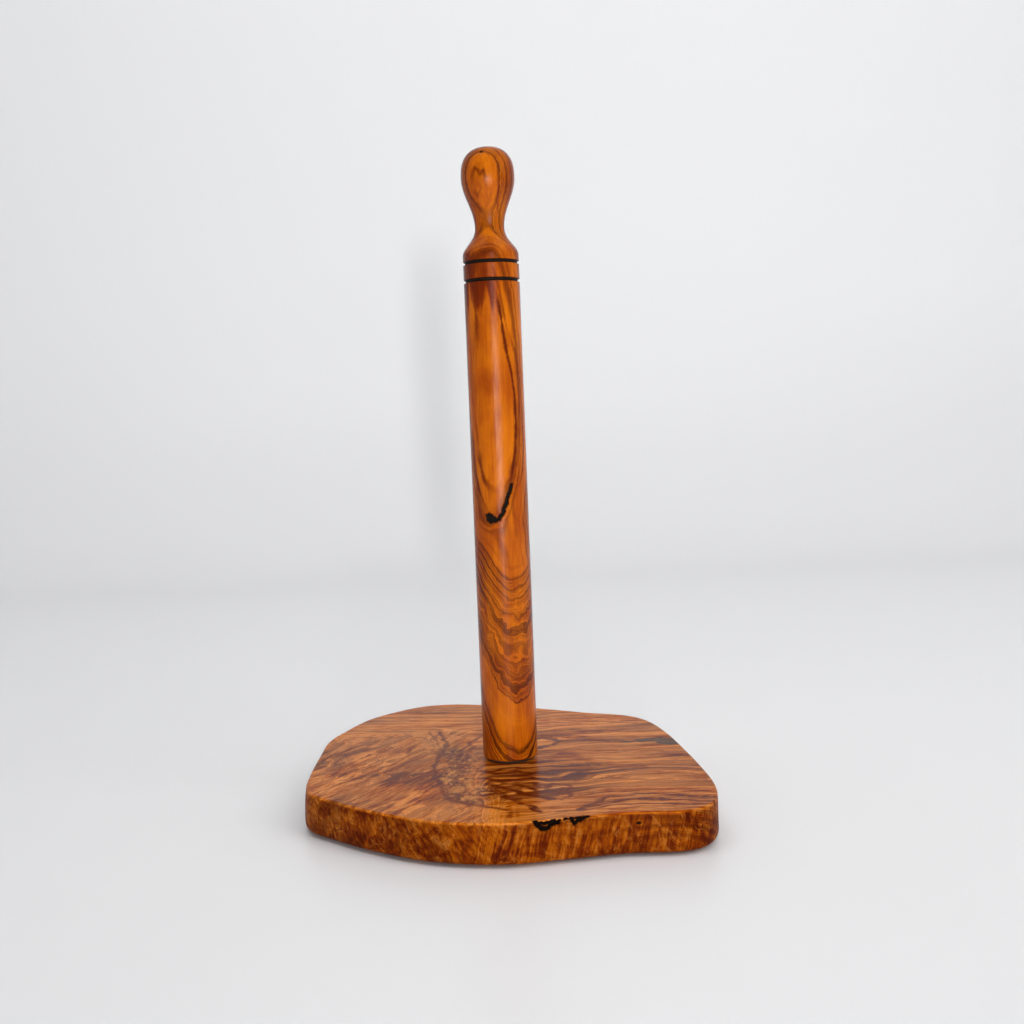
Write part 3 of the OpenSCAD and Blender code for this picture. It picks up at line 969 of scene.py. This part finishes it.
def post_wood():
    """Polished olive wood of the post."""
    g = Graph("post_wood")
    strands = g.grain((900, 900, 60), detail=4, rough=0.65)
    colour, tremble = wood_base(g, strands, 0.85, 3.0, 0.5, POST_RINGS)
    vein = g.value("vein")
    crack = g.value("crack")
    burnt = g.value("burnt")
    colour = g.mix(g.ease(vein, 0.0, 0.5, 0, 0.55), colour, RUSSET)
    colour = g.mix(g.ease(vein, 0.4, 1.0, 0, 0.9), colour, UMBER)
    colour = g.mix(g.ease(crack, 0.15, 0.6), colour, BARK)
    colour = g.mix(g.ease(burnt, 0.3, 0.8), colour, CHAR)
    rough = g.add_scaled(g.ease(strands, 0.2, 0.8, 0.16, 0.30), g.math("MAXIMUM", crack, burnt), 0.4)
    bump = g.bump(g.add_scaled(strands, tremble, 0.6), POST_BUMP * MM)
    return g.finish(Base_Color=colour, Roughness=rough, Normal=bump, IOR=POST_IOR)


def burl(g, colour, strands):
    """Fine curls with dark outlines where the burl number is high, and the drawn pale islands."""
    drift = g.grain((160, 160, 160), detail=2)
    curl = g.sway(g.grain((190, 120, 120), detail=5, rough=0.68, twist=1.2), drift, 0.35)
    zone = g.value("burl")
    over = g.math("SUBTRACT", curl, g.math("MULTIPLY_ADD", zone, -0.27, 0.76))
    colour = g.mix(g.times(g.ease(over, -0.22, 0.0), zone, 0.55), colour, RUSSET)
    colour = g.mix(g.times(g.ease(over, 0.0, 0.16), zone, 0.75), colour, PEACH)
    rim = g.ease(g.math("ABSOLUTE", over), 0.006, 0.055, 1.0, 0.0)
    colour = g.mix(g.times(rim, zone, 0.8), colour, PLUM)
    crumble = g.grain((420, 240, 300), detail=4, rough=0.7, twist=0.8)
    island = g.sway(g.value("island"), crumble, 1.6)
    fill = g.times(g.ease(island, 0.1, 0.7), g.ease(strands, 0.0, 1.0, 0.95, 0.35))
    colour = g.mix(fill, colour, PEACH)
    edge = g.ease(g.math("ABSOLUTE", island), 0.02, 0.13, 1.0, 0.0)
    return g.mix(g.times(edge, g.ease(drift, 0.42, 0.6, 0.15, 0.8)), colour, PLUM)


def slab_strands(g, straight, side):
    """Fibres of the slab: straight or curled on the top, and ragged combs and wisps on the sides."""
    fibres = g.grain((34, 420, 420), detail=5, rough=0.62)
    curls = g.grain((34, 300, 250), -FEATHER_TURN, detail=5, rough=0.7, twist=0.4)
    clouds = g.grain((22, 150, 110), -FEATHER_TURN, detail=3, twist=0.8)
    curls = g.blend(0.35, curls, clouds)
    strands = g.ease(g.blend(straight, curls, fibres), 0.38, 0.62)
    curled_hairs = g.grain((130, 1100, 900), -FEATHER_TURN, detail=3, rough=0.7)
    hairs = g.blend(straight, curled_hairs, g.grain((110, 1000, 900), detail=3, rough=0.7))
    strands = g.blend(0.42, strands, g.ease(hairs, 0.4, 0.6))
    wisps = g.grain((330, 260, 70), 38, "Y_AXIS", detail=6, rough=0.68, twist=1.0)
    combs = g.grain((420, 300, 60), -14, "Y_AXIS", detail=6, rough=0.7, twist=0.4)
    blotch = g.grain((60, 60, 110), detail=4, rough=0.6, twist=1.2)
    on_side = g.ease(g.blend(straight, wisps, combs), 0.3, 0.7)
    return g.blend(side, strands, g.blend(0.24, on_side, g.ease(blotch, 0.3, 0.7)))


def slab_wood():
    """Polished olive burl of the slab, duller round its sides, with painted shade darkening them."""
    g = Graph("slab_wood")
    side = g.value("side")
    vein = g.value("vein")
    crack = g.value("crack")
    strands = slab_strands(g, g.value("straight"), side)
    colour, tremble = wood_base(g, strands, 2.1, 10.0, 2.4, SLAB_RINGS)
    colour = burl(g, colour, strands)
    colour = g.mix(g.ease(vein, 0.0, 0.5, 0, 0.6), colour, RUSSET)
    faint = g.ease(g.grain((240, 240, 240), detail=3), 0.35, 0.6, 0.25, 0.95)
    colour = g.mix(g.times(g.ease(vein, 0.35, 0.9), faint), colour, UMBER)
    flecks = g.ease(g.grain((760, 760, 520), detail=4, rough=0.7), 0.54, 0.66)
    colour = g.mix(g.times(flecks, side, 0.6), colour, RUSSET)
    wisp = g.grain((150, 150, 70), 30, "Y_AXIS", detail=5, rough=0.66, twist=2.4)
    colour = g.mix(g.times(g.ease(wisp, 0.55, 0.66, 0.0, 0.4), side), colour, HONEY)
    colour = g.mix(g.ease(g.value("smoke"), 0.1, 0.9, 0, 0.85), colour, SMOKE)
    # Painted shade: the slab's sides are multiplied darker.
    colour = g.mix(g.times(side, 0.9), colour, SIDE_PAINTED_SHADE, blend="MULTIPLY")
    colour = g.mix(g.ease(crack, 0.15, 0.6), colour, BARK)
    rough = g.add_scaled(g.ease(strands, 0.2, 0.8, 0.14, 0.24), side, 0.28)
    rough = g.add_scaled(rough, crack, 0.3)
    bump = g.bump(g.add_scaled(strands, tremble, 0.6), SLAB_BUMP * MM)
    return g.finish(Base_Color=colour, Roughness=rough, Normal=bump, IOR=SLAB_IOR)


def metal(name, light, dark, rough):
    """Plated metal with faint drawing marks and dull spots."""
    g = Graph(name)
    spots = g.grain((700, 700, 700), detail=4, rough=0.6)
    marks = g.grain((300, 300, 4000), detail=2)
    colour = g.mix(g.ease(spots, 0.3, 0.75), light, dark)
    roughness = g.add_scaled(g.ease(spots, 0.3, 0.8, rough, rough + 0.15), marks, 0.15)
    return g.finish(Base_Color=colour, Metallic=1.0, Roughness=roughness, Normal=g.bump(marks, 0.02 * MM))


def bolt_steel():
    return metal("bolt_steel", (0.62, 0.62, 0.60), (0.42, 0.42, 0.42), 0.26)


def insert_zinc():
    return metal("insert_zinc", (0.74, 0.68, 0.50), (0.52, 0.47, 0.36), 0.30)


def washer_fibre():
    """Dark vulcanised fibre."""
    g = Graph("washer_fibre")
    flecks = g.grain((1500, 1500, 1500), detail=3)
    colour = g.mix(g.ease(flecks, 0.35, 0.75), (0.012, 0.010, 0.009), (0.035, 0.028, 0.024))
    return g.finish(Base_Color=colour, Roughness=g.ease(flecks, 0.3, 0.7, 0.55, 0.75),
                    Normal=g.bump(flecks, 0.04 * MM))


def pad_felt():
    """Brown wool felt."""
    g = Graph("pad_felt")
    wool = g.grain((2200, 2200, 2200), detail=4, rough=0.7, twist=1.5)
    mottle = g.grain((260, 260, 260), detail=2)
    colour = g.mix(g.ease(wool, 0.3, 0.7), (0.050, 0.032, 0.020), (0.135, 0.090, 0.058))
    colour = g.mix(g.ease(mottle, 0.4, 0.75, 0, 0.5), colour, (0.040, 0.026, 0.017))
    return g.finish(Base_Color=colour, Roughness=0.95, Sheen_Weight=0.4, Sheen_Roughness=0.6,
                    Normal=g.bump(wool, 0.25 * MM))


def backdrop_paper():
    """Pale satin paper, with painted shade making it darker where it lies on the table than where it hangs.
    """
    g = Graph("backdrop_paper")
    cloud = g.grain((1.3, 1.3, 1.3), detail=2)
    height = g.add("SeparateXYZ", Vector=g.place((1, 1, 1))).outputs[2]
    # Painted shade: the paper is darker on the floor than where it hangs as the wall.
    paper_and_shade = g.mix(g.ease(height, 0.0, CURVE_R), (0.905, 0.905, 0.912), (0.95, 0.952, 0.96))
    paper_and_shade = g.mix(g.ease(cloud, 0.3, 0.7, 0.0, 0.05), paper_and_shade, (0.7, 0.7, 0.7))
    return g.finish(Base_Color=paper_and_shade, Roughness=0.36, Specular_IOR_Level=0.35)


# ---------------- stage, lights and camera

# In metres
WALL_Y = 1.3
WALL_TOP = 3.0
FLOOR_FRONT = -2.5
ROOM_HALF = 3.0
CURVE_R = 0.45


def build_stage():
    """A floor that sweeps up into the wall behind."""
    bend_y = WALL_Y - CURVE_R
    profile = [(FLOOR_FRONT, 0.0), (bend_y, 0.0)]
    for a in np.linspace(0, math.pi / 2, 16)[1:]:
        profile.append((bend_y + CURVE_R * math.sin(a), CURVE_R * (1 - math.cos(a))))
    profile.append((WALL_Y, WALL_TOP))
    verts = [(x, y, z) for y, z in profile for x in (-ROOM_HALF, ROOM_HALF)]
    faces = [(2 * i, 2 * i + 1, 2 * i + 3, 2 * i + 2) for i in range(len(profile) - 1)]
    floor = add_mesh("backdrop", verts, faces)
    floor.data.materials.append(backdrop_paper())


def aim(thing, place, target):
    """Puts a camera or light at a place, looking at a target."""
    thing.location = place
    look = Vector(target) - Vector(place)
    thing.rotation_euler = look.to_track_quat("-Z", "Y").to_euler()


def soft_box(name, place, target, width, height, power, glossy=False, spread=180):
    """A soft rectangular light. It is seen in reflections only when it is glossy."""
    data = bpy.data.lights.new(name, "AREA")
    data.shape = "RECTANGLE"
    data.size = width
    data.size_y = height
    data.energy = power
    data.spread = math.radians(spread)
    light = bpy.data.objects.new(name, data)
    bpy.context.scene.collection.objects.link(light)
    aim(light, place, target)
    light.visible_camera = False
    light.visible_glossy = glossy


def build_lights():
    """A small light by the camera, a key far in front, a fill from the right and one for the wall."""
    middle = (AXIS_X, AXIS_Y, 0.16)
    soft_box("camera_light", (AXIS_X + 0.045, -0.66, 0.215), middle, 0.19, 0.24, 0.13, glossy=True,
             spread=80)
    soft_box("key", (AXIS_X + 0.18, -2.5, 0.04), middle, 0.12, 0.2, 38.0)
    soft_box("key_shine", (AXIS_X + 0.10, -2.5, 0.10), middle, 0.3, 0.3, 12.0, glossy=True)
    soft_box("right_fill", (1.3, -0.9, 1.2), middle, 1.2, 1.2, 11.0)
    soft_box("wall_light", (0.0, 0.0, 2.2), (0.0, 0.5, 0.0), 2.4, 1.0, 18.0)


def build_world():
    """Pale surroundings, dimmer in front of the object than behind it."""
    g = Graph("studio", bpy.data.worlds)
    back = g.add("SeparateXYZ", Vector=g.add("TexCoord").outputs["Generated"]).outputs["Y"]
    bpy.context.scene.world = g.finish("Background", "OutputWorld", Color=(0.97, 0.98, 1.0),
                                       Strength=g.ease(back, -0.6, 0.6, 0.15, 0.5))


CAMERA_AT = (0.0035, -0.629, 0.19316)
CAMERA_YAW = math.radians(0.518)
CAMERA_PITCH = math.radians(4.341)
CAMERA_ROLL = math.radians(2.252)
LENS_MM = 43.1
SENSOR_MM = 36.0


def build_camera():
    """Slightly above the slab, a little rolled."""
    data = bpy.data.cameras.new("view")
    data.lens = LENS_MM
    data.sensor_width = SENSOR_MM
    data.clip_start = 0.01
    camera = bpy.data.objects.new("view", data)
    bpy.context.scene.collection.objects.link(camera)
    yaw = Matrix.Rotation(-CAMERA_YAW, 4, "Z")
    pitch = Matrix.Rotation(math.pi / 2 - CAMERA_PITCH, 4, "X")
    roll = Matrix.Rotation(-CAMERA_ROLL, 4, "Z")
    camera.matrix_world = Matrix.Translation(CAMERA_AT) @ yaw @ pitch @ roll
    bpy.context.scene.camera = camera


# ---------------- putting it together

def dress(piece, material):
    piece.data.materials.append(material)


dress(build_post(), post_wood())
dress(build_slab(), slab_wood())
dress(build_bolt(), bolt_steel())
dress(build_insert(), insert_zinc())
dress(build_washer(), washer_fibre())
felt = pad_felt()
for corner in ("front_left", "front_right", "back_left", "back_right"):
    dress(build_pad(corner), felt)

build_stage()
build_lights()
build_world()
build_camera()
bpy.context.scene.view_settings.view_transform = "Standard"
